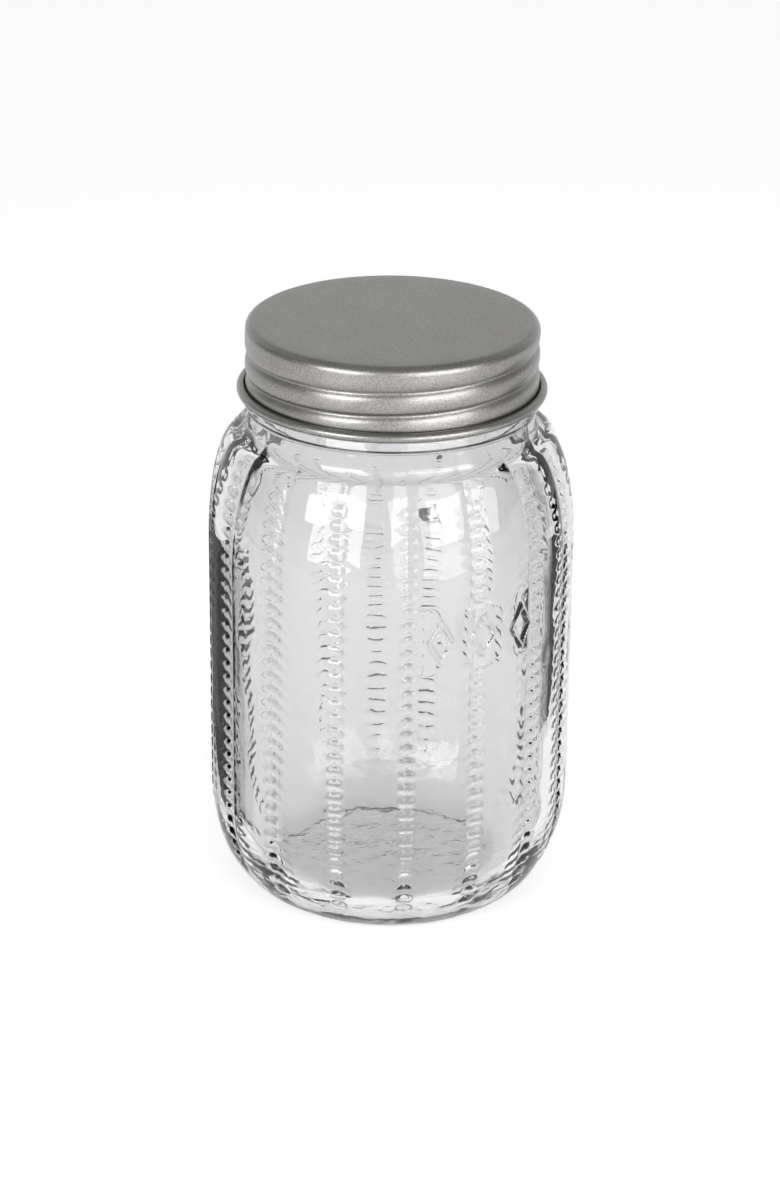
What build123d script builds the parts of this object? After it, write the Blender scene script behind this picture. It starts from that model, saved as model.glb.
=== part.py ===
"""Glass storage jar with a screw-on metal lid: jar, pressed lid and loose sealing disc.

Millimetres, +Z up. The origin is the centre of the base, on the surface the jar stands on.
The front of the jar faces -Y. Azimuths are degrees counted from the front towards +X.
"""
from build123d import *
from math import cos, radians, sin
import os

# ---- jar body ---------------------------------------------------------------------------
body_radius = 51.1           # over the crests of the lobes
heel_top_z = 32.0            # the straight wall starts here
shoulder_z = 104.0           # and ends here
base_radius = 32.1           # outer edge of the ring that the jar stands on
base_ring_width = 1.8
push_up = 1.6                # rise of the middle of the underside
neck_radius = 39.7           # bare neck below the collar
cove_radius = 2.9            # hollow between shoulder and neck
cove_top_z = 139.6
inner_radius = 47.3          # straight inside wall
floor_z = 7.4                # inside floor at its middle
floor_edge_z = 6.2
floor_radius = 34.5
inner_heel_top_z = 31.0
inner_shoulder_z = 103.0
mouth_radius = 34.9          # inside of the neck
inner_neck_z = 148.0         # the inside starts to widen here, in one slow curve
inner_neck_pull = 11.0       # how long that curve keeps the neck's direction
inner_shoulder_pull = 23.0   # and the wall's

# ---- lobes, ribs and emblem -------------------------------------------------------------
lobe_count = 16
valley_depth = 1.2
rib_azimuth = 5.7            # first rib; every valley holds one
rib_width = 5.0
rib_low_z = 5.5
rib_high_z = 133.5
rib_proud = 0.45             # over the plain shoulder and heel
rib_root = 1.5               # depth of its root in the wall
rib_limit_radius = 50.75     # limit of the ribs on the straight wall
emblem_azimuths = (15.5, 29.5, 43.5)
emblem_z = 94.0
emblem_height = 14.0
emblem_width = 8.0
emblem_radius = 51.6
emblem_root_radius = 48.5
emblem_opening = 0.6         # size of the opening in each lozenge, as a share of the lozenge

# ---- neck finish ------------------------------------------------------------------------
collar_radius = 40.6
collar_low_z = 144.8
collar_high_z = 147.2
finish_radius = 38.45        # neck between the threads
finish_low_z = 148.4
rim_rounding = 1.05
thread_pitch = 6.35
glass_thread_start = -540.0  # azimuth of its lower end, counted along the helix
glass_thread_end = -61.0
glass_thread_rise = 2.12     # its centre stands this far over the lid's groove
glass_crest_radius = 39.6
glass_crest_width = 1.6
glass_root_width = 3.8
glass_root_depth = 0.2       # root of the thread inside the neck

# ---- lid --------------------------------------------------------------------------------
lid_top_z = 168.0
lid_radius = 40.3
lid_corner = 2.4
sheet = 0.38
hem_radius = 42.6            # over the curled edge
hem_z = 148.95               # centre of the curl
hem_open_angle = 120.0       # the curl stops here, short of the skirt
groove_drop = 7.35           # centre of the rolled groove below the lid's top, at the front
groove_start = -500.0        # azimuth of its lower end, counted along the helix
groove_end = 290.0
groove_floor_radius = 39.2
groove_floor_width = 0.75
groove_top_radius = 40.9
groove_top_width = 3.7
ridge_crest_radius = 38.82   # the groove's other side, inside the lid
ridge_crest_width = 1.1
ridge_root_radius = 40.3
ridge_root_width = 3.66
ridge_overrun = 0.8          # degrees that the ridge runs past each end of the groove

# ---- sealing disc -----------------------------------------------------------------------
liner_radius = 38.0
liner_thickness = 1.2
liner_edge = 0.2
seat_gap = 0.05              # between lid, disc and rim, which press together in use

liner_top_z = lid_top_z - sheet - seat_gap
rim_z = liner_top_z - liner_thickness - seat_gap
lobe_angle = 360 / lobe_count
valley_radius = body_radius - valley_depth
right_azimuth = 90.0         # azimuth of +X, where a helix starts
cove_center_radius = neck_radius + cove_radius
shoulder_height = cove_top_z - cove_radius - shoulder_z


def at_azimuth(azimuth, radius, z=0.0):
    """Point at an azimuth, a distance from the axis and a height."""
    return (radius * sin(radians(azimuth)), -radius * cos(radians(azimuth)), z)


def upright_plane(azimuth):
    """Plane through the axis: its X points out at the azimuth and its Y is the jar's +Z."""
    return Plane(origin=(0, 0, 0), x_dir=at_azimuth(azimuth, 1), z_dir=at_azimuth(azimuth - 90, 1))


def groove_z(azimuth):
    """Height of the lid's groove where its helix passes an azimuth."""
    return lid_top_z - groove_drop + thread_pitch * azimuth / 360


def helix(azimuth_start, azimuth_end, rise, radius):
    """Right-handed helix that runs beside the lid's groove, a fixed rise over it."""
    height = groove_z(azimuth_end) - groove_z(azimuth_start)
    with BuildLine() as path:
        Helix(
            pitch=thread_pitch,
            height=height,
            radius=radius,
            center=(0, 0, groove_z(azimuth_start) + rise),
        )
    return path.line.rotate(Axis.Z, azimuth_start - right_azimuth)


def body_outline(outset):
    """Heel, wall and shoulder of the body as one curve, moved outwards by an outset."""
    heel = EllipticalCenterArc(
        center=(base_radius, heel_top_z),
        x_radius=body_radius - base_radius + outset,
        y_radius=heel_top_z + outset,
        start_angle=270,
        arc_size=90,
    )
    shoulder = EllipticalCenterArc(
        center=(cove_center_radius, shoulder_z),
        x_radius=body_radius - cove_center_radius + outset,
        y_radius=shoulder_height + outset,
        start_angle=0,
        arc_size=90,
    )
    Line(heel @ 1, shoulder @ 0)
    return heel @ 0, shoulder @ 1


def body_section(outset):
    """Edges round the solid half section of the plain body, moved outwards by an outset."""
    with BuildLine() as section:
        low, high = body_outline(outset)
        Polyline(high, (0, high.Y), (0, low.Y), low)
    return section.edges()


# ---- helper solids, which are not written out -------------------------------------------
with BuildPart() as lobed_column:
    with BuildSketch():
        with BuildLine():
            for i in range(lobe_count):
                valley = rib_azimuth + i * lobe_angle
                ThreePointArc(
                    at_azimuth(valley, valley_radius),
                    at_azimuth(valley + lobe_angle / 2, body_radius),
                    at_azimuth(valley + lobe_angle, valley_radius),
                )
        make_face()
    extrude(amount=lid_top_z)

rib_arc = rib_width / radians(1) / rib_limit_radius
with BuildPart() as rib:
    with BuildSketch(upright_plane(rib_azimuth - rib_arc / 2)):
        make_face(body_section(rib_proud))
        make_face(body_section(-rib_root), mode=Mode.SUBTRACT)
        with Locations((0, rib_low_z)):
            Rectangle(
                rib_limit_radius,
                rib_high_z - rib_low_z,
                align=(Align.MIN, Align.MIN),
                mode=Mode.INTERSECT,
            )
    revolve(axis=Axis.Z, revolution_arc=rib_arc)

with BuildPart() as emblem:
    for azimuth in emblem_azimuths:
        face_plane = Plane(
            origin=at_azimuth(azimuth, emblem_root_radius, emblem_z),
            x_dir=at_azimuth(azimuth + 90, 1),
            z_dir=at_azimuth(azimuth, 1),
        )
        with BuildSketch(face_plane):
            half_width, half_height = emblem_width / 2, emblem_height / 2
            lozenge = Polygon(
                (half_width, 0), (0, half_height), (-half_width, 0), (0, -half_height), align=None
            )
            add(scale(lozenge, by=emblem_opening, mode=Mode.PRIVATE), mode=Mode.SUBTRACT)
        extrude(amount=emblem_radius)
    Cylinder(
        emblem_radius, lid_top_z, align=(Align.CENTER, Align.CENTER, Align.MIN), mode=Mode.INTERSECT
    )


def thread_section(path, low_radius, low_width, high_radius, high_width):
    """Trapezoid across the start of a thread's helix: its X is radial, its Y runs along the axis."""
    radial = Vector((path @ 0).X, (path @ 0).Y, 0).normalized()
    center = (low_radius + high_radius) / 2
    with BuildSketch(Plane(origin=path @ 0, x_dir=radial, z_dir=path % 0)) as section:
        Polygon(
            (low_radius - center, -low_width / 2),
            (high_radius - center, -high_width / 2),
            (high_radius - center, high_width / 2),
            (low_radius - center, low_width / 2),
            align=None,
        )
    return section.sketch


glass_root_radius = finish_radius - glass_root_depth
glass_path = helix(
    glass_thread_start,
    glass_thread_end,
    glass_thread_rise,
    (glass_root_radius + glass_crest_radius) / 2,
)
with BuildPart() as glass_thread:
    glass_section = thread_section(
        glass_path, glass_root_radius, glass_root_width, glass_crest_radius, glass_crest_width
    )
    sweep(glass_section, path=glass_path, is_frenet=True)

# ---- glass jar --------------------------------------------------------------------------
with BuildPart() as glass_jar:
    with BuildSketch(Plane.XZ):
        with BuildLine():
            base_low, shoulder_high = body_outline(0)
            Polyline((0, push_up), (base_radius - base_ring_width, 0), base_low)
            cove = CenterArc((cove_center_radius, cove_top_z), cove_radius, 270, -90)
            Line(cove @ 1, (neck_radius, collar_low_z))
            collar = Polyline(
                (neck_radius, collar_low_z),
                (collar_radius, collar_low_z),
                (collar_radius, collar_high_z),
                (neck_radius, collar_high_z),
            )
            outer_rim = CenterArc(
                (finish_radius - rim_rounding, rim_z - rim_rounding), rim_rounding, 0, 90
            )
            Polyline(collar @ 1, (finish_radius, finish_low_z), outer_rim @ 0)
            inner_rim = CenterArc(
                (mouth_radius + rim_rounding, rim_z - rim_rounding), rim_rounding, 90, 90
            )
            Line(outer_rim @ 1, inner_rim @ 0)
            Line(inner_rim @ 1, (mouth_radius, inner_neck_z))
            inner_shoulder = Bezier(
                (mouth_radius, inner_neck_z),
                (mouth_radius, inner_neck_z - inner_neck_pull),
                (inner_radius, inner_shoulder_z + inner_shoulder_pull),
                (inner_radius, inner_shoulder_z),
            )
            inner_heel = EllipticalCenterArc(
                center=(floor_radius, inner_heel_top_z),
                x_radius=inner_radius - floor_radius,
                y_radius=inner_heel_top_z - floor_edge_z,
                start_angle=270,
                arc_size=90,
            )
            Line(inner_shoulder @ 1, inner_heel @ 1)
            Polyline(inner_heel @ 0, (0, floor_z), (0, push_up))
        make_face()
    revolve(axis=Axis.Z)
    add(lobed_column.part, mode=Mode.INTERSECT)
    with PolarLocations(0, lobe_count):
        add(rib.part)
    add(emblem.part)
    add(glass_thread.part)

# ---- lid: one pressed sheet with a rolled thread and a curled edge ------------------------
curl_outer = (hem_radius - lid_radius + sheet) / 2
curl_inner = curl_outer - sheet
curl_center = (hem_radius - curl_outer, hem_z)
corner_center = (lid_radius - lid_corner, lid_top_z - lid_corner)
curl_sweep = 180 + hem_open_angle

with BuildPart() as lid_core:
    with BuildSketch(Plane.XZ):
        with BuildLine():
            corner = CenterArc(corner_center, lid_corner - sheet / 2, 0, 90)
            Polyline(corner @ 1, (0, (corner @ 1).Y), (0, hem_z), ((corner @ 0).X, hem_z), corner @ 0)
        make_face()
    revolve(axis=Axis.Z)

ridge_path = helix(
    groove_start - ridge_overrun,
    groove_end + ridge_overrun,
    0,
    (ridge_crest_radius + ridge_root_radius) / 2,
)
with BuildPart() as lid_ridge:
    ridge_section = thread_section(
        ridge_path, ridge_crest_radius, ridge_crest_width, ridge_root_radius, ridge_root_width
    )
    sweep(ridge_section, path=ridge_path, is_frenet=True)
    add(lid_core.part, mode=Mode.INTERSECT)

groove_path = helix(groove_start, groove_end, 0, (groove_floor_radius + groove_top_radius) / 2)
with BuildPart() as lid_groove:
    groove_section = thread_section(
        groove_path, groove_floor_radius, groove_floor_width, groove_top_radius, groove_top_width
    )
    sweep(groove_section, path=groove_path, is_frenet=True)

with BuildPart() as lid_shell:
    with BuildSketch(Plane.XZ):
        with BuildLine():
            outer_corner = CenterArc(corner_center, lid_corner, 90, -90)
            Line((0, lid_top_z), outer_corner @ 0)
            inside_curl = CenterArc(curl_center, curl_inner, 180, curl_sweep)
            Line(outer_corner @ 1, inside_curl @ 0)
            outside_curl = CenterArc(curl_center, curl_outer, 180 + curl_sweep, -curl_sweep)
            Line(inside_curl @ 1, outside_curl @ 0)
            inner_corner = CenterArc(corner_center, lid_corner - sheet, 0, 90)
            Line(outside_curl @ 1, inner_corner @ 0)
            Polyline(inner_corner @ 1, (0, lid_top_z - sheet), (0, lid_top_z))
        make_face()
    revolve(axis=Axis.Z)
    add(lid_ridge.part)
    add(lid_groove.part, mode=Mode.SUBTRACT)

# ---- loose sealing disc inside the lid --------------------------------------------------
with BuildPart() as lid_liner:
    with BuildSketch(Plane.XY.offset(liner_top_z - liner_thickness)):
        Circle(liner_radius)
    extrude(amount=liner_thickness)
    chamfer(lid_liner.edges(), length=liner_edge)

os.makedirs("parts", exist_ok=True)
glass_jar.part.label = "glass_jar"
export_step(glass_jar.part, "parts/glass_jar.step")
lid_shell.part.label = "lid_shell"
export_step(lid_shell.part, "parts/lid_shell.step")
lid_liner.part.label = "lid_liner"
export_step(lid_liner.part, "parts/lid_liner.step")
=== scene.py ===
"""Looks of the ribbed glass storage jar: pressed glass, satin metal lid, foam disc, studio.

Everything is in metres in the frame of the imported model: +Z up, front towards -Y.
Azimuths are degrees counted from the front towards +X, as in the part's own source.
"""

from math import ceil, cos, pi, radians, sin

import bpy
import numpy as np
from mathutils import Matrix, Vector


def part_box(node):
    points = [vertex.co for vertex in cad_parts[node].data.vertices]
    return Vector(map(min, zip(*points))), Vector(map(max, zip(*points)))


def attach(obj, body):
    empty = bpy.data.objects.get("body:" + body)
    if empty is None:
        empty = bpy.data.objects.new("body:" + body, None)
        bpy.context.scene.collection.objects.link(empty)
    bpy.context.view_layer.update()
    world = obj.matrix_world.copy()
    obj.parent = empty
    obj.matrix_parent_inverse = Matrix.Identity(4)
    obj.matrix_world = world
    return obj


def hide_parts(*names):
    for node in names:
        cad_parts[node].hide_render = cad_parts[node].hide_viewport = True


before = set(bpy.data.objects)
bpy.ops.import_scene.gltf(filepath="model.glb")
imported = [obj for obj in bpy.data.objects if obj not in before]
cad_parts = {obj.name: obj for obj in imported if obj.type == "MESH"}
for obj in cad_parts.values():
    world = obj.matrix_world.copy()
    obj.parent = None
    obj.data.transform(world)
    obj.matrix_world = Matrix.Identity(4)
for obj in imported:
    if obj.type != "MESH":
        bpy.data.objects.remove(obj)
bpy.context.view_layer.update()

# ---- sizes read from the frame ----------------------------------------------------------
_, jar_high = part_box("glass_jar")
_, lid_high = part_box("lid_shell")
liner_low, liner_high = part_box("lid_liner")
RIM_Z = jar_high.z
LID_TOP_Z = lid_high.z
HEM_RADIUS = lid_high.x
LINER_RADIUS = liner_high.x
LINER_LOW_Z = liner_low.z
LINER_TOP_Z = liner_high.z

# ---- sizes of the glass, as in the part's source ----------------------------------------
MM = 0.001
BODY_RADIUS = 51.1 * MM
HEEL_TOP_Z = 32.0 * MM
SHOULDER_Z = 104.0 * MM
BASE_RADIUS = 32.1 * MM
BASE_RING_WIDTH = 1.8 * MM
PUSH_UP = 1.6 * MM
NECK_RADIUS = 39.7 * MM
COVE_RADIUS = 2.9 * MM
COVE_TOP_Z = 139.6 * MM
COVE_CENTER_RADIUS = NECK_RADIUS + COVE_RADIUS
COLLAR_RADIUS = 40.6 * MM
COLLAR_LOW_Z = 144.8 * MM
COLLAR_HIGH_Z = 147.2 * MM
FINISH_RADIUS = 38.45 * MM
FINISH_LOW_Z = 148.4 * MM
RIM_ROUNDING = 1.05 * MM
MOUTH_RADIUS = 34.9 * MM
INNER_NECK_Z = 148.0 * MM
INNER_NECK_PULL = 11.0 * MM
INNER_SHOULDER_PULL = 23.0 * MM
INNER_RADIUS = 47.3 * MM
INNER_SHOULDER_Z = 103.0 * MM
INNER_HEEL_TOP_Z = 31.0 * MM
FLOOR_RADIUS = 34.5 * MM
FLOOR_EDGE_Z = 6.2 * MM
FLOOR_Z = 7.4 * MM

# ---- sizes that only the looks have -----------------------------------------------------
RING_LIFT = 0.3 * MM
COLLAR_EDGE = 0.3 * MM
FLOOR_CREASE = 62.0
POLE = 2.0 * MM

# ---- pattern on the glass ---------------------------------------------------------------
LOBES = 16
LOBE_ANGLE = 360 / LOBES
VALLEY_DEPTH = 1.2 * MM
LOBE_START_Z = 2.5 * MM
LOBE_RISE = 12.0 * MM
LOBE_END = 6.0 * MM
INNER_LOBES = 0.7
INNER_LOBE_RISE = 16.0 * MM
INNER_LOBE_END = 22.0 * MM
RIB_AZIMUTH = 5.7
BEAD_WIDTH = 5.2 * MM
BEAD_LENGTH = 3.4 * MM
BEAD_PITCH = 4.0 * MM
BEAD_HEIGHT = 0.75 * MM
BEAD_ROUNDNESS = 0.8
BEADS_FROM = 9.0 * MM
BEADS_CLEAR_OF_NECK = 2.5 * MM
BEAD_START = 14.0 * MM
BEAD_RISE = 7.0 * MM
BEAD_END = 14.0 * MM
EMBLEM_AZIMUTHS = (15.5, 29.5, 43.5)
EMBLEM_Z = 94.0 * MM
EMBLEM_HALF_WIDTH = 4.2 * MM
EMBLEM_HALF_HEIGHT = 7.2 * MM
EMBLEM_RELIEF = 1.2 * MM
EMBLEM_STROKE = 0.4
EMBLEM_ROUNDNESS = 0.7
EMBLEM_MARGIN = 3.0 * MM
EMBLEM_ROW = 0.35 * MM
COLUMNS_BETWEEN_RIBS = 7
COLUMNS_UNDER_EMBLEM = 44

# ---- threads ----------------------------------------------------------------------------
THREAD_PITCH = 6.35 * MM
GROOVE_DROP = 7.35 * MM
GLASS_THREAD_START = -540.0
GLASS_THREAD_END = -61.0
GLASS_THREAD_RISE = 2.12 * MM
GLASS_THREAD_HEIGHT = 1.15 * MM
GLASS_THREAD_WIDTH = 1.15 * MM
GLASS_THREAD_SQUARENESS = 2.6
GLASS_THREAD_RUN_IN = 14.0

# ---- lid --------------------------------------------------------------------------------
LID_RADIUS = 40.3 * MM
LID_CORNER = 2.4 * MM
SHEET = 0.38 * MM
HEM_Z = 148.95 * MM
HEM_OPEN_ANGLE = 120.0
GROOVE_START = -500.0
GROOVE_END = 290.0
GROOVE_DEPTH = 0.36 * MM
GROOVE_WIDTH = 0.85 * MM
BAND_DEPTH = 0.5 * MM
GROOVE_RUN_IN = 25.0
GROOVE_RUN_OUT = 60.0
GROOVE_OVER_CURL = 1.2 * MM
CORNER_FADE = 1.6
LID_COLUMNS = 256

# ---- foam disc --------------------------------------------------------------------------
LINER_BULGE = 0.25 * MM
LINER_BULGE_EDGE = 2.2 * MM
LINER_BULGE_REACH = 0.2 * MM
LINER_EDGE = 0.35 * MM
LINER_COLUMNS = 160

# ---- colours and surfaces ---------------------------------------------------------------
GLASS_TINT = (0.81, 0.812, 0.816, 1)
GLASS_INDEX = 1.51
STIPPLE_FULL_Z = 0.004
STIPPLE_END_Z = 0.008
METAL_DARK = (0.216, 0.211, 0.202)
METAL_LIGHT = (0.352, 0.345, 0.332)
METAL_CLOUD = 0.84
METAL_ROUGHNESS = (0.30, 0.38)
FOAM_DARK = (0.80, 0.80, 0.77)
FOAM_LIGHT = (0.88, 0.88, 0.86)
FOAM_ROUGHNESS = 0.75
FLOOR_TONE = 0.8
FLOOR_ROUGHNESS = 0.6
FLOOR_GLOW = 0.46
FLAG_TONE = 0.01

# ---- camera: metres, degrees and millimetres of lens ------------------------------------
CAMERA_AIM_Z = 0.0854
CAMERA_ELEVATION = 23.43
CAMERA_DISTANCE = 0.9564
CAMERA_ROLL = 0.57
CAMERA_SENSOR = 36.0
CAMERA_LENS = 102.3

# ---- studio: metres, degrees and watts --------------------------------------------------
FLOOR_SIDE = 6.0
LIGHT_DISTANCE = 0.9
LIGHT_AIM = (0, 0, 0.09)
KEY_LEFT_AZIMUTH = -38.0
KEY_LEFT_Z = 0.37
KEY_LEFT_SIZE = (0.50, 0.42)
KEY_LEFT_POWER = 4.7
KEY_RIGHT_AZIMUTH = 37.0
KEY_RIGHT_Z = 0.33
KEY_RIGHT_SIZE = (0.84, 0.60)
KEY_RIGHT_POWER = 6.4
FLAG_LEFT = (-0.085, 0.08, 0.048)
FLAG_LEFT_SIZE = (0.20, 0.096)
FLAG_LEFT_AIM = (0, 0.08, 0.048)
FLAG_RIGHT = (0.145, 0.05, 0.05)
FLAG_RIGHT_SIZE = (0.06, 0.10)
FLAG_RIGHT_AIM = (0, 0.04, 0.05)
AIR_UPWARDS = [(0.1, 1.0), (0.40, 0.78), (0.8, 0.45)]
AIR_SIDEWAYS = [(0.65, 1.0), (0.92, 0.4)]


# ==== mesh helpers =======================================================================
def smoothstep(t):
    t = np.clip(t, 0.0, 1.0)
    return t * t * (3 - 2 * t)


def arc(center, radius_r, radius_z, start, end, steps):
    """Points of an elliptical arc in the (radius, height) plane, angles in degrees."""
    t = np.radians(np.linspace(start, end, steps + 1))
    return np.c_[center[0] + radius_r * np.cos(t), center[1] + radius_z * np.sin(t)]


def line(a, b, steps):
    t = np.linspace(0, 1, steps + 1)[:, None]
    return np.array(a) * (1 - t) + np.array(b) * t


def bezier(a, b, c, d, steps):
    t = np.linspace(0, 1, steps + 1)[:, None]
    a, b, c, d = map(np.array, (a, b, c, d))
    return a * (1 - t) ** 3 + 3 * b * t * (1 - t) ** 2 + 3 * c * t**2 * (1 - t) + d * t**3


def join(*runs):
    """Runs of points, one after the other, with the shared end points kept once."""
    points = [runs[0]]
    for run in runs[1:]:
        points.append(run[1:] if np.allclose(run[0], points[-1][-1], atol=1e-7) else run)
    return np.concatenate(points)


def lengths(profile):
    return np.r_[0, np.cumsum(np.linalg.norm(np.diff(profile, axis=0), axis=1))]


def normals(profile):
    """Unit normals of a profile that is drawn with the material on its left."""
    d = np.gradient(profile, axis=0)
    n = np.c_[d[:, 1], -d[:, 0]]
    return n / np.linalg.norm(n, axis=1)[:, None]


def add_object(name, data, center=(0, 0, 0)):
    obj = bpy.data.objects.new(name, data)
    obj.location = center
    bpy.context.scene.collection.objects.link(obj)
    return obj


def lathe(name, rings, first_pole, last_pole):
    """Closed mesh from rings of points (rows, columns, 3), each end shut by a pole point."""
    rows, columns = rings.shape[:2]
    i = np.arange(columns)
    j = (i + 1) % columns
    faces = []
    for row in range(rows - 1):
        a, b = row * columns, (row + 1) * columns
        faces += np.c_[a + i, a + j, b + j, b + i].tolist()
    first = np.full(columns, rows * columns)
    last_row = (rows - 1) * columns
    faces += np.c_[first, j, i].tolist()
    faces += np.c_[last_row + i, last_row + j, first + 1].tolist()
    verts = np.concatenate([rings.reshape(-1, 3), np.array([first_pole, last_pole])])
    mesh = bpy.data.meshes.new(name)
    mesh.from_pydata(verts.tolist(), [], faces)
    mesh.validate()
    mesh.shade_smooth()
    return add_object(name, mesh)


def ring_points(radius, azimuth, z):
    a = np.radians(azimuth)
    return np.stack([radius * np.sin(a), -radius * np.cos(a), z + 0 * a], axis=-1)


def nearest_turn(azimuth, start, end):
    """The turns of a helix that pass an azimuth between its two ends."""
    first = ceil((start - 360 - 180) / 360)
    return [azimuth + 360 * k for k in range(first, int(end // 360) + 2)]


def groove_z(azimuth):
    return LID_TOP_Z - GROOVE_DROP + THREAD_PITCH * azimuth / 360


# ==== glass ==============================================================================
def bead_lengths(low, high):
    """Places of the beads' middles along the body's curve."""
    count = int((high - low) / BEAD_PITCH)
    return low + BEAD_PITCH * (np.arange(count) + 0.5)


def body_profile():
    """Heel, wall, shoulder and cove as one fine curve, to be read off by its length."""
    heel = arc((BASE_RADIUS, HEEL_TOP_Z), BODY_RADIUS - BASE_RADIUS, HEEL_TOP_Z, 270, 360, 200)
    wall = line((BODY_RADIUS, HEEL_TOP_Z), (BODY_RADIUS, SHOULDER_Z), 400)
    shoulder_height = COVE_TOP_Z - COVE_RADIUS - SHOULDER_Z
    shoulder = arc(
        (COVE_CENTER_RADIUS, SHOULDER_Z),
        BODY_RADIUS - COVE_CENTER_RADIUS,
        shoulder_height,
        0,
        90,
        200,
    )
    cove = arc((COVE_CENTER_RADIUS, COVE_TOP_Z), COVE_RADIUS, COVE_RADIUS, 270, 180, 30)
    return join(heel, wall, shoulder, cove)


def lobe_drop(azimuth):
    """How far the surface lies inside the crest circle: convex arcs between the valleys."""
    half = radians(LOBE_ANGLE / 2)
    valley = BODY_RADIUS - VALLEY_DEPTH
    chord = valley * sin(half)
    rise = BODY_RADIUS - valley * cos(half)
    lobe_radius = (chord**2 + rise**2) / (2 * rise)
    center = BODY_RADIUS - lobe_radius
    a = np.radians((azimuth - RIB_AZIMUTH) % LOBE_ANGLE) - half
    r = center * np.cos(a) + np.sqrt(lobe_radius**2 - (center * np.sin(a)) ** 2)
    return BODY_RADIUS - r


def emblem_lift(azimuth, z):
    """Three plain raised lozenge frames with rounded edges."""
    lift = 0
    for center in EMBLEM_AZIMUTHS:
        across = np.abs(np.radians(azimuth - center)) * BODY_RADIUS / EMBLEM_HALF_WIDTH
        up = np.abs(z - EMBLEM_Z) / EMBLEM_HALF_HEIGHT
        off = (across + up - 1 + EMBLEM_STROKE / 2) / (EMBLEM_STROKE / 2)
        lift = lift + EMBLEM_RELIEF * np.clip(1 - off**2, 0, 1) ** EMBLEM_ROUNDNESS
    return lift


def emblem_patch(azimuth, z):
    """1 on the plain patch round the lozenges, where lobes and beads stop, 0 elsewhere."""
    middle = EMBLEM_AZIMUTHS[1]
    half_spread = EMBLEM_AZIMUTHS[2] - middle
    half_width = np.radians(half_spread) * BODY_RADIUS + EMBLEM_HALF_WIDTH + EMBLEM_MARGIN
    half_height = EMBLEM_HALF_HEIGHT + EMBLEM_MARGIN
    across = half_width - np.abs(np.radians(azimuth - middle)) * BODY_RADIUS
    up = half_height - np.abs(z - EMBLEM_Z)
    return smoothstep(across / EMBLEM_MARGIN) * smoothstep(up / EMBLEM_MARGIN)


def glass_thread_lift(azimuth, z):
    """Rounded thread on the finish, which fades at both ends."""
    lift = 0
    for turn in nearest_turn(azimuth, GLASS_THREAD_START, GLASS_THREAD_END):
        low_end = smoothstep((turn - GLASS_THREAD_START) / GLASS_THREAD_RUN_IN)
        high_end = smoothstep((GLASS_THREAD_END - turn) / GLASS_THREAD_RUN_IN)
        off = (z - groove_z(turn) - GLASS_THREAD_RISE) / GLASS_THREAD_WIDTH
        ridge = np.exp(-(np.abs(off) ** GLASS_THREAD_SQUARENESS))
        lift = lift + GLASS_THREAD_HEIGHT * ridge * (low_end * high_end)
    return lift


def glass_azimuths():
    """Columns of the glass: close together over the beads and under the emblem."""
    half_bead = np.degrees(BEAD_WIDTH / 2 / BODY_RADIUS)
    over_bead = half_bead * np.array([-1, -0.95, -0.82, -0.6, -0.3, 0, 0.3, 0.6, 0.82, 0.95, 1])
    columns = []
    for i in range(LOBES):
        rib = RIB_AZIMUTH + i * LOBE_ANGLE
        under_emblem = EMBLEM_AZIMUTHS[0] - LOBE_ANGLE < rib < EMBLEM_AZIMUTHS[-1]
        between = COLUMNS_UNDER_EMBLEM if under_emblem else COLUMNS_BETWEEN_RIBS
        gap = np.linspace(half_bead, LOBE_ANGLE - half_bead, between + 2)[1:-1]
        columns += list(rib + over_bead) + list(rib + gap)
    return np.array(columns)


def body_rows(beads, emblem_at, end):
    """Lengths along the body's curve: close together over the beads and under the emblem."""
    half_bead = BEAD_LENGTH / 2
    over_bead = half_bead * np.array([-1, -0.94, -0.75, -0.4, 0, 0.4, 0.75, 0.94, 1])
    reach = EMBLEM_HALF_HEIGHT + 0.5 * MM
    rows = [np.linspace(0, beads[0] - half_bead, 6)[:-1]]
    rows += [bead + over_bead for bead in beads]
    rows.append(np.linspace(beads[-1] + half_bead, end, 10)[1:])
    rows.append(emblem_at + np.arange(-reach, reach, EMBLEM_ROW))
    return np.unique(np.concatenate(rows).round(6))


def read_off(values, fine_length, at):
    """Pairs of values of a fine curve, read off at some lengths."""
    return np.stack([np.interp(at, fine_length, column) for column in values.T], axis=1)


def bead_domes(azimuth, at, beads, cove_start):
    """Height of the beads, from 0 to 1; they get lower towards both ends of a rib."""
    from_rib = (azimuth - RIB_AZIMUTH + LOBE_ANGLE / 2) % LOBE_ANGLE - LOBE_ANGLE / 2
    across = np.radians(from_rib) * BODY_RADIUS / (BEAD_WIDTH / 2)
    nearest = beads[np.argmin(abs(at[:, None] - beads[None, :]), axis=1)][:, None]
    along = (at[:, None] - nearest) / (BEAD_LENGTH / 2)
    dome = np.clip(1 - across**2 - along**2, 0, 1) ** BEAD_ROUNDNESS
    low_end = smoothstep((nearest - BEAD_START) / BEAD_RISE)
    high_end = smoothstep((cove_start - nearest) / BEAD_END)
    return dome * high_end * low_end


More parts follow.
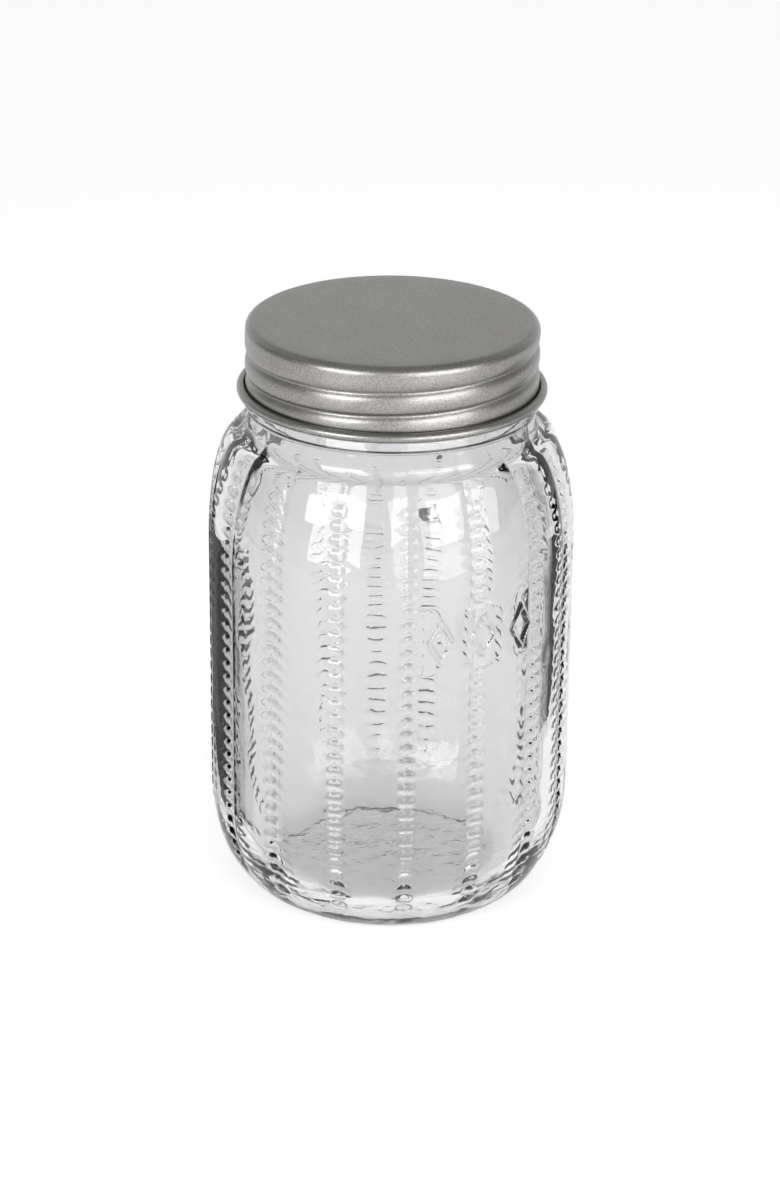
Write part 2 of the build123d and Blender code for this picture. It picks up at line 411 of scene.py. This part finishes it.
def body_rings(azimuth):
    """Heel, wall, shoulder and cove; lobes, beads and emblem move them along their normals."""
    fine = body_profile()
    fine_length = lengths(fine)
    cove_start = fine_length[-1] - COVE_RADIUS * pi / 2
    beads = bead_lengths(BEADS_FROM, cove_start - BEADS_CLEAR_OF_NECK)
    emblem_at = fine_length[np.searchsorted(fine[:, 1], EMBLEM_Z)]
    at = body_rows(beads, emblem_at, fine_length[-1])
    body = read_off(fine, fine_length, at)
    out = read_off(normals(fine), fine_length, at)
    r, z = body[:, 0:1], body[:, 1:2]
    plain = emblem_patch(azimuth, z)
    low_end = smoothstep((z - LOBE_START_Z) / LOBE_RISE)
    high_end = smoothstep((cove_start - at[:, None]) / LOBE_END)
    lift = -lobe_drop(azimuth) * (low_end * high_end) * (1 - plain) * r / BODY_RADIUS
    lift = lift + BEAD_HEIGHT * bead_domes(azimuth, at, beads, cove_start) * (1 - plain)
    lift = lift + emblem_lift(azimuth, z)
    return ring_points(r + lift * out[:, 0:1], azimuth, z + lift * out[:, 1:2])


def under_rings(azimuth):
    """Underside: a shallow cone, and a ring that rests on its outer edge only."""
    ring_inside = (BASE_RADIUS - BASE_RING_WIDTH, RING_LIFT)
    cone = line((POLE, PUSH_UP), ring_inside, 8)
    ring = line(ring_inside, (BASE_RADIUS, 0), 3)[:-1]
    under = join(cone, ring)
    return ring_points(under[:, 0:1], azimuth, under[:, 1:2])


def collar_profile():
    """Ledge under the lid, rounded twice as much above as below."""
    edge = COLLAR_EDGE
    return join(
        line((NECK_RADIUS, COLLAR_LOW_Z), (COLLAR_RADIUS - edge, COLLAR_LOW_Z), 3),
        arc((COLLAR_RADIUS - edge, COLLAR_LOW_Z + edge), edge, edge, -90, 0, 4),
        line((COLLAR_RADIUS, COLLAR_LOW_Z + edge), (COLLAR_RADIUS, COLLAR_HIGH_Z - 2 * edge), 2),
        arc((COLLAR_RADIUS - 2 * edge, COLLAR_HIGH_Z - 2 * edge), 2 * edge, 2 * edge, 0, 90, 4),
    )


def neck_rings(azimuth):
    """Neck, collar, threaded finish and rim."""
    rim_low = RIM_Z - RIM_ROUNDING
    neck = join(
        line((NECK_RADIUS, COVE_TOP_Z), (NECK_RADIUS, COLLAR_LOW_Z), 3)[1:],
        collar_profile(),
        line((NECK_RADIUS, COLLAR_HIGH_Z), (FINISH_RADIUS, FINISH_LOW_Z), 3),
        line((FINISH_RADIUS, FINISH_LOW_Z), (FINISH_RADIUS, rim_low), 34),
        arc((FINISH_RADIUS - RIM_ROUNDING, rim_low), RIM_ROUNDING, RIM_ROUNDING, 0, 90, 5),
        arc((MOUTH_RADIUS + RIM_ROUNDING, rim_low), RIM_ROUNDING, RIM_ROUNDING, 90, 180, 5),
    )
    z = neck[:, 1:2]
    return ring_points(neck[:, 0:1] + glass_thread_lift(azimuth, z), azimuth, z)


def inner_heel():
    """Inside heel: part of an ellipse that meets the floor at an angle, in a soft crease."""
    stop = radians(FLOOR_CREASE)
    radius_r = (INNER_RADIUS - FLOOR_RADIUS) / (1 - cos(stop))
    radius_z = (INNER_HEEL_TOP_Z - FLOOR_EDGE_Z) / sin(stop)
    center = (INNER_RADIUS - radius_r, INNER_HEEL_TOP_Z)
    return arc(center, radius_r, radius_z, 0, -FLOOR_CREASE, 24)


def floor_profile():
    """Inside floor from its edge to near the middle: it rises softly, level at both ends."""
    r = np.linspace(FLOOR_RADIUS, POLE, 13)
    rise = 0.5 + 0.5 * np.cos(pi * r / FLOOR_RADIUS)
    return np.c_[r, FLOOR_EDGE_Z + (FLOOR_Z - FLOOR_EDGE_Z) * rise]


def inside_rings(azimuth):
    """Mouth, inside shoulder, wall, heel and floor; the wall has the lobes, but less deep."""
    inside = join(
        line((MOUTH_RADIUS, RIM_Z - RIM_ROUNDING), (MOUTH_RADIUS, INNER_NECK_Z), 8)[1:],
        bezier(
            (MOUTH_RADIUS, INNER_NECK_Z),
            (MOUTH_RADIUS, INNER_NECK_Z - INNER_NECK_PULL),
            (INNER_RADIUS, INNER_SHOULDER_Z + INNER_SHOULDER_PULL),
            (INNER_RADIUS, INNER_SHOULDER_Z),
            36,
        ),
        line((INNER_RADIUS, INNER_SHOULDER_Z), (INNER_RADIUS, INNER_HEEL_TOP_Z), 24),
        inner_heel(),
        floor_profile(),
    )
    r, z = inside[:, 0:1], inside[:, 1:2]
    over_floor = smoothstep((z - FLOOR_Z) / INNER_LOBE_RISE)
    under_mouth = smoothstep((INNER_NECK_Z - z) / INNER_LOBE_END)
    lobes = INNER_LOBES * lobe_drop(azimuth) * over_floor * under_mouth
    return ring_points(r - lobes, azimuth, z)


def glass_jar():
    """The whole jar: one closed skin of glass."""
    azimuth = glass_azimuths()[None, :]
    rings = np.concatenate(
        [under_rings(azimuth), body_rings(azimuth), neck_rings(azimuth), inside_rings(azimuth)]
    )
    obj = lathe("jar_glass", rings, (0, 0, PUSH_UP), (0, 0, FLOOR_Z))
    obj.data.materials.append(clear_glass())
    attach(obj, "jar")
    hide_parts("glass_jar")


# ==== lid ================================================================================
def lid_press(azimuth, z):
    """How far the sheet is pressed in: a narrow rolled groove between softly rounded bands."""
    press = 0
    for turn in nearest_turn(azimuth, GROOVE_START, GROOVE_END):
        low_end = smoothstep((turn - GROOVE_START) / GROOVE_RUN_IN)
        high_end = smoothstep((GROOVE_END - turn) / GROOVE_RUN_OUT)
        off = z - groove_z(turn)
        band = 1 - np.sin(np.clip(np.abs(off) / THREAD_PITCH, 0, 0.5) * pi)
        groove = np.exp(-((off / GROOVE_WIDTH) ** 2))
        press = press + (BAND_DEPTH * band + GROOVE_DEPTH * groove) * (low_end * high_end)
    return press


def lid_runs():
    """Outside, curl and inside of the sheet, each as one run of points."""
    curl_outer = (HEM_RADIUS - LID_RADIUS + SHEET) / 2
    curl_inner = curl_outer - SHEET
    curl = (HEM_RADIUS - curl_outer, HEM_Z)
    corner = (LID_RADIUS - LID_CORNER, LID_TOP_Z - LID_CORNER)
    stop = 360 + HEM_OPEN_ANGLE
    inner = LID_RADIUS - SHEET
    outside = join(
        line((POLE, LID_TOP_Z), (corner[0], LID_TOP_Z), 8),
        arc(corner, LID_CORNER, LID_CORNER, 90, 0, 9),
        line((LID_RADIUS, corner[1]), (LID_RADIUS, HEM_Z), 96),
    )
    curled = join(
        arc(curl, curl_inner, curl_inner, 180, stop, 22),
        arc(curl, curl_outer, curl_outer, stop, 180, 26),
    )
    inside = join(
        line((inner, HEM_Z), (inner, corner[1]), 96),
        arc(corner, LID_CORNER - SHEET, LID_CORNER - SHEET, 0, 90, 7),
        line((corner[0], LID_TOP_Z - SHEET), (POLE, LID_TOP_Z - SHEET), 6),
    )
    return outside, curled[1:], inside[1:]


def pressed(run, azimuth):
    """A run of the sheet with the groove pressed in, but not on the top or at the curl."""
    r, z = run[:, 0:1], run[:, 1:2]
    near_wall = smoothstep((r - (LID_RADIUS - LID_CORNER)) / LID_CORNER * CORNER_FADE)
    over_curl = smoothstep((z - HEM_Z) / GROOVE_OVER_CURL)
    return ring_points(r - lid_press(azimuth, z) * near_wall * over_curl, azimuth, z)


def lid_shell():
    """One pressed sheet: flat top, grooved skirt and a curl that stays open."""
    azimuth = np.linspace(0, 360, LID_COLUMNS, endpoint=False)[None, :]
    outside, curled, inside = lid_runs()
    curled_rings = ring_points(curled[:, 0:1], azimuth, curled[:, 1:2])
    rings = np.concatenate([pressed(outside, azimuth), curled_rings, pressed(inside, azimuth)])
    poles = (0, 0, LID_TOP_Z - SHEET), (0, 0, LID_TOP_Z)
    obj = lathe("lid_metal_shell", rings[::-1], *poles)
    obj.data.materials.append(satin_metal())
    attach(obj, "lid")
    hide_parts("lid_shell")


def lid_liner():
    """Foam disc; the rim has left a shallow ring in its lower face."""
    azimuth = np.linspace(0, 360, LINER_COLUMNS, endpoint=False)[None, :]
    low, high = LINER_LOW_Z, LINER_TOP_Z
    edge, r = LINER_EDGE, LINER_RADIUS
    swell = MOUTH_RADIUS + LINER_BULGE_REACH
    level = swell - LINER_BULGE_EDGE
    profile = join(
        line((POLE, low - LINER_BULGE), (level, low - LINER_BULGE), 8),
        arc((level, low), LINER_BULGE_EDGE, LINER_BULGE, -90, 0, 6),
        line((swell, low), (r - edge, low), 5),
        arc((r - edge, low + edge), edge, edge, -90, 0, 5),
        line((r, low + edge), (r, high - edge), 4),
        arc((r - edge, high - edge), edge, edge, 0, 90, 5),
        line((r - edge, high), (POLE, high), 8),
    )
    rings = ring_points(profile[:, 0:1], azimuth, profile[:, 1:2])
    obj = lathe("lid_foam_liner", rings, (0, 0, low - LINER_BULGE), (0, 0, high))
    obj.data.materials.append(liner_foam())
    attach(obj, "liner")
    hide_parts("lid_liner")


# ==== materials ==========================================================================
def new_material(name):
    """A material with its node tree, its Principled shader and a place-coordinates node."""
    mat = bpy.data.materials.new(name)
    mat.use_nodes = True
    tree = mat.node_tree
    shader = tree.nodes["Principled BSDF"]
    place = tree.nodes.new("ShaderNodeTexCoord").outputs["Object"]
    return mat, tree, shader, place


def grey(tone):
    return (tone, tone, tone)


def noise(tree, place, scale, detail=3.0, roughness=0.5, stretch=(1, 1, 1)):
    mapping = tree.nodes.new("ShaderNodeMapping")
    mapping.inputs["Scale"].default_value = stretch
    node = tree.nodes.new("ShaderNodeTexNoise")
    node.inputs["Scale"].default_value = scale
    node.inputs["Detail"].default_value = detail
    node.inputs["Roughness"].default_value = roughness
    tree.links.new(place, mapping.inputs["Vector"])
    tree.links.new(mapping.outputs["Vector"], node.inputs["Vector"])
    return node.outputs["Fac"]


def ramp(tree, factor, stops):
    """Colour ramp; each stop is (position, colour)."""
    node = tree.nodes.new("ShaderNodeValToRGB")
    elements = node.color_ramp.elements
    for element, (position, color) in zip(elements, (stops[0], stops[-1])):
        element.position = position
        element.color = (*color, 1)
    for position, color in stops[1:-1]:
        elements.new(position).color = (*color, 1)
    tree.links.new(factor, node.inputs["Fac"])
    return node.outputs["Color"]


def remap(tree, value, low, high):
    node = tree.nodes.new("ShaderNodeMapRange")
    node.inputs["To Min"].default_value = low
    node.inputs["To Max"].default_value = high
    tree.links.new(value, node.inputs["Value"])
    return node.outputs["Result"]


def bump(tree, height, distance, strength=1.0, normal=None):
    node = tree.nodes.new("ShaderNodeBump")
    node.inputs["Distance"].default_value = distance
    node.inputs["Strength"].default_value = strength
    tree.links.new(height, node.inputs["Height"])
    if normal is not None:
        tree.links.new(normal, node.inputs["Normal"])
    return node.outputs["Normal"]


def multiply(tree, a, b):
    """Product of two colours."""
    mix = tree.nodes.new("ShaderNodeMix")
    mix.data_type = "RGBA"
    mix.blend_type = "MULTIPLY"
    mix.inputs[0].default_value = 1.0
    tree.links.new(a, mix.inputs[6])
    tree.links.new(b, mix.inputs[7])
    return mix.outputs[2]


def clear_glass():
    """Pressed soda-lime glass: clear, slightly wavy from the mould, stippled at its base."""
    mat, tree, shader, place = new_material("clear_glass")
    shader.inputs["Base Color"].default_value = GLASS_TINT
    shader.inputs["Transmission Weight"].default_value = 1.0
    shader.inputs["Roughness"].default_value = 0.0
    shader.inputs["IOR"].default_value = GLASS_INDEX
    slow = noise(tree, place, 70, detail=2.0, stretch=(1, 1, 0.45))
    stipple = noise(tree, place, 170, detail=3.0)
    parts = tree.nodes.new("ShaderNodeSeparateXYZ")
    tree.links.new(place, parts.inputs["Vector"])
    fade = [(STIPPLE_FULL_Z, grey(1.0)), (STIPPLE_END_Z, grey(0.02))]
    on_base = ramp(tree, parts.outputs["Z"], fade)
    waves = bump(tree, slow, 0.00035)
    pits = bump(tree, multiply(tree, stipple, on_base), 0.0008, normal=waves)
    tree.links.new(pits, shader.inputs["Normal"])
    return mat


def satin_metal():
    """Tinned sheet with a satin grain: fine speckle in tone and gloss."""
    mat, tree, shader, place = new_material("lid_metal")
    speckle = noise(tree, place, 2400, detail=2.0, roughness=0.7)
    cloud = noise(tree, place, 55, detail=4.0)
    tone = ramp(tree, speckle, [(0.36, METAL_DARK), (0.64, METAL_LIGHT)])
    shade = ramp(tree, cloud, [(0.3, grey(METAL_CLOUD)), (0.7, grey(1.0))])
    tree.links.new(multiply(tree, tone, shade), shader.inputs["Base Color"])
    shader.inputs["Metallic"].default_value = 1.0
    tree.links.new(remap(tree, cloud, *METAL_ROUGHNESS), shader.inputs["Roughness"])
    tree.links.new(bump(tree, speckle, 0.00002, 0.7), shader.inputs["Normal"])
    return mat


def liner_foam():
    """Closed-cell white foam."""
    mat, tree, shader, place = new_material("liner_foam")
    cells = tree.nodes.new("ShaderNodeTexVoronoi")
    cells.inputs["Scale"].default_value = 2200
    tree.links.new(place, cells.inputs["Vector"])
    cloud = noise(tree, place, 120, detail=4.0)
    tone = ramp(tree, cloud, [(0.3, FOAM_DARK), (0.7, FOAM_LIGHT)])
    tree.links.new(tone, shader.inputs["Base Color"])
    shader.inputs["Roughness"].default_value = FOAM_ROUGHNESS
    tree.links.new(bump(tree, cells.outputs["Distance"], 0.0002, 0.5), shader.inputs["Normal"])
    return mat


# ==== studio =============================================================================
def face(obj, target, axis):
    """Turn one local axis of an object towards a point."""
    obj.rotation_euler = (Vector(target) - obj.location).to_track_quat(axis, "Y").to_euler()


def sheet(name, width, height):
    """Flat rectangle round the origin."""
    w, h = width / 2, height / 2
    mesh = bpy.data.meshes.new(name)
    mesh.from_pydata([(-w, -h, 0), (w, -h, 0), (w, h, 0), (-w, h, 0)], [], [(0, 1, 2, 3)])
    return mesh


def floor():
    """Pale table under the jar, glowing a little so that it joins the white backdrop."""
    mesh = sheet("floor", FLOOR_SIDE, FLOOR_SIDE)
    mat, _, shader, _ = new_material("pale_floor")
    shader.inputs["Base Color"].default_value = (*grey(FLOOR_TONE), 1)
    shader.inputs["Roughness"].default_value = FLOOR_ROUGHNESS
    shader.inputs["Emission Color"].default_value = (1, 1, 1, 1)
    shader.inputs["Emission Strength"].default_value = FLOOR_GLOW
    mesh.materials.append(mat)
    obj = add_object("floor", mesh)


def flag(name, center, size, facing):
    """Dark card beside the jar, for a dark edge in the glass.

    The camera doesn't see it, and rays that only pass through the glass don't either:
    it shows in reflections alone, in the glass and in the lid.
    """
    mesh = sheet(name, *size)
    mat, tree, shader, _ = new_material(name)
    shader.inputs["Base Color"].default_value = (*grey(FLAG_TONE), 1)
    path = tree.nodes.new("ShaderNodeLightPath")
    clear = tree.nodes.new("ShaderNodeBsdfTransparent")
    mix = tree.nodes.new("ShaderNodeMixShader")
    tree.links.new(path.outputs["Glossy Depth"], mix.inputs[0])
    tree.links.new(clear.outputs[0], mix.inputs[1])
    tree.links.new(shader.outputs[0], mix.inputs[2])
    tree.links.new(mix.outputs[0], tree.nodes["Material Output"].inputs["Surface"])
    mesh.materials.append(mat)
    obj = add_object(name, mesh, center)
    face(obj, facing, "Z")
    obj.visible_camera = False
    obj.visible_diffuse = False
    obj.visible_shadow = False


def softbox(name, center, size, power):
    light = bpy.data.lights.new(name, "AREA")
    light.shape = "RECTANGLE"
    light.size, light.size_y = size
    light.energy = power
    face(add_object(name, light, center), LIGHT_AIM, "-Z")


def around(azimuth, z):
    """Place of a light round the jar: azimuth 0 is the camera's side, positive is to the right."""
    a = radians(azimuth)
    return (LIGHT_DISTANCE * sin(a), -LIGHT_DISTANCE * cos(a), z)


def studio():
    """Pale table, two softboxes in front and a dark card close by on each side."""
    floor()
    left = around(KEY_LEFT_AZIMUTH, KEY_LEFT_Z)
    right = around(KEY_RIGHT_AZIMUTH, KEY_RIGHT_Z)
    softbox("key_left", left, KEY_LEFT_SIZE, KEY_LEFT_POWER)
    softbox("key_right", right, KEY_RIGHT_SIZE, KEY_RIGHT_POWER)
    flag("flag_left", FLAG_LEFT, FLAG_LEFT_SIZE, FLAG_LEFT_AIM)
    flag("flag_right", FLAG_RIGHT, FLAG_RIGHT_SIZE, FLAG_RIGHT_AIM)
    air()
    bpy.context.scene.view_settings.view_transform = "Standard"


def air():
    """Backdrop: brightest at the horizon, darker overhead and far out to both sides."""
    world = bpy.data.worlds.new("studio_air")
    world.use_nodes = True
    tree = world.node_tree
    place = tree.nodes.new("ShaderNodeTexCoord").outputs["Generated"]
    parts = tree.nodes.new("ShaderNodeSeparateXYZ")
    tree.links.new(place, parts.inputs["Vector"])
    color = ramp(tree, parts.outputs["Z"], [(at, grey(tone)) for at, tone in AIR_UPWARDS])
    aside = tree.nodes.new("ShaderNodeMath")
    aside.operation = "ABSOLUTE"
    tree.links.new(parts.outputs["X"], aside.inputs[0])
    stops = [(at, grey(tone)) for at, tone in AIR_SIDEWAYS]
    sides = ramp(tree, aside.outputs["Value"], stops)
    background = tree.nodes["Background"]
    tree.links.new(multiply(tree, color, sides), background.inputs["Color"])
    background.inputs["Strength"].default_value = 1.0
    bpy.context.scene.world = world


def camera():
    data = bpy.data.cameras.new("camera")
    data.sensor_width = CAMERA_SENSOR
    data.lens = CAMERA_LENS
    elevation = radians(CAMERA_ELEVATION)
    back = Vector((0, -cos(elevation), sin(elevation)))
    obj = add_object("camera", data, Vector((0, 0, CAMERA_AIM_Z)) + back * CAMERA_DISTANCE)
    roll = Matrix.Rotation(radians(CAMERA_ROLL), 3, "Z").to_quaternion()
    obj.rotation_mode = "QUATERNION"
    obj.rotation_quaternion = (-back).to_track_quat("-Z", "Y") @ roll
    bpy.context.scene.camera = obj


camera()
glass_jar()
lid_shell()
lid_liner()
studio()
